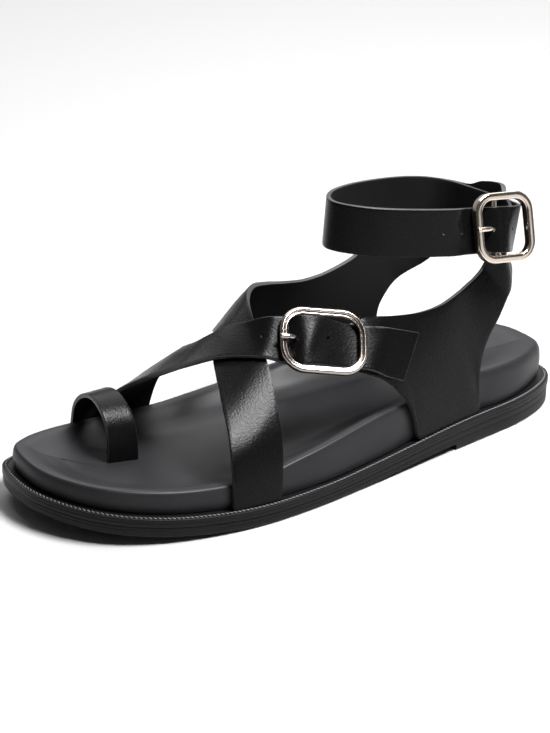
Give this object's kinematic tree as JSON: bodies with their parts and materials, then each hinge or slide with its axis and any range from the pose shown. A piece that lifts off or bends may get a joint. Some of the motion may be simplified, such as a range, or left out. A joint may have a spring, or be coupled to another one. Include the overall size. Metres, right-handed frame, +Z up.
{
  "type": "platform toe post sandal",
  "caption": "Black leather strap sandal, left shoe, with a crossed instep, a toe loop, a buckled ankle strap and a contoured footbed on a flat platform sole.",
  "frame": {"origin": "centre of the sole's length and width, on the floor", "axes": "+X towards the toe, +Y towards the wearer's left (the small-toe side), +Z up"},
  "size_m": [0.2612, 0.096, 0.1117],
  "materials": {
    "moulded_rubber": "matte black",
    "welt_board": "satin black",
    "footbed_leather": "matte black",
    "smooth_leather": "semi-gloss black",
    "plated_buckle": "polished pale gold plating"
  },
  "bodies": {
    "root": {"outsole": "moulded_rubber", "welt": "welt_board", "footbed": "footbed_leather", "upper": "smooth_leather", "ankle_strap": "smooth_leather", "instep_buckle_frame": "plated_buckle", "instep_buckle_prong": "plated_buckle", "ankle_buckle_frame": "plated_buckle", "ankle_buckle_prong": "plated_buckle"}
  },
  "joints": []
}
